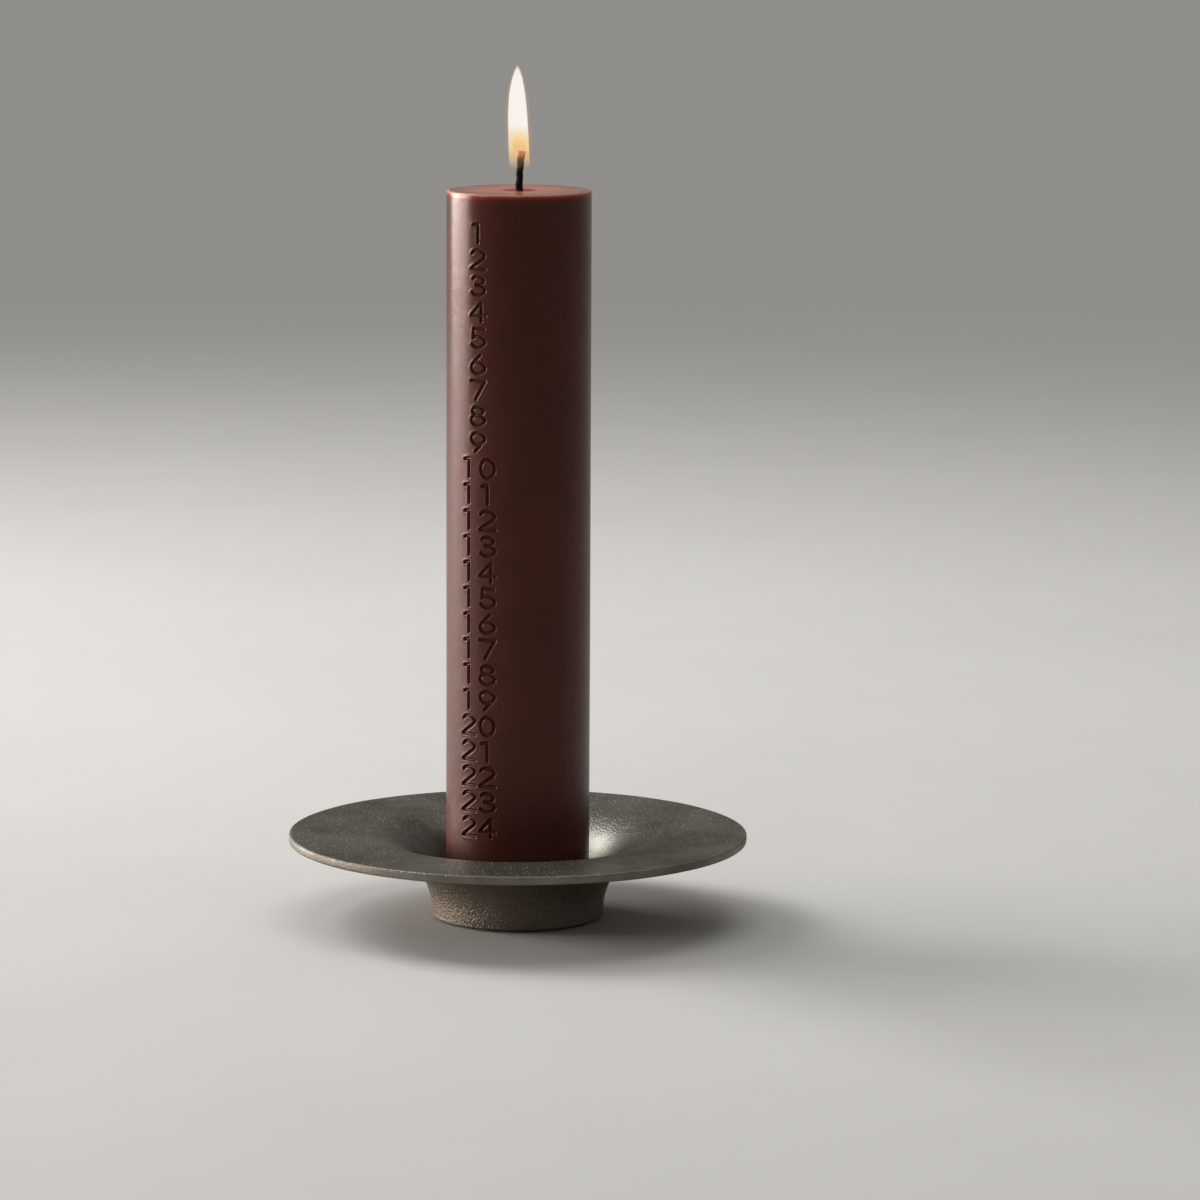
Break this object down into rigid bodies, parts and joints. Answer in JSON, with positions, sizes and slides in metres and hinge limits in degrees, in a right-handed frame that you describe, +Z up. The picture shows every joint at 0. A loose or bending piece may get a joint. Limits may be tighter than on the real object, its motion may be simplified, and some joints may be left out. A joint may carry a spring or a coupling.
{
  "type": "calendar candle",
  "caption": "Wax pillar with a column of day numerals cut down its front, lit, standing loose in the well of a round cast dish holder.",
  "frame": {"origin": "centre of the felt's resting face, on the surface that the holder stands on", "axes": "+Z up along the candle, -Y the side that the numerals face, +X to the right when they are read"},
  "size_m": [0.16, 0.16, 0.2974],
  "materials": {
    "cast_metal": "satin",
    "felt": "matte",
    "wax": "satin",
    "burnt_cotton": "matte",
    "tinplate": "satin",
    "molten_wax": "gloss",
    "flame": "gloss"
  },
  "bodies": {
    "holder": {"holder_casting": "cast_metal", "felt_pad": "felt"},
    "candle": {"wax_pillar": "wax", "wick": "burnt_cotton", "wick_clip": "tinplate", "melt_pool": "molten_wax", "flame": "flame"}
  },
  "joints": [
    {"name": "candle_lift", "type": "slide", "parent": "holder", "child": "candle", "axis": [0, 0, 1], "range_m": [0, 0.04]}
  ]
}
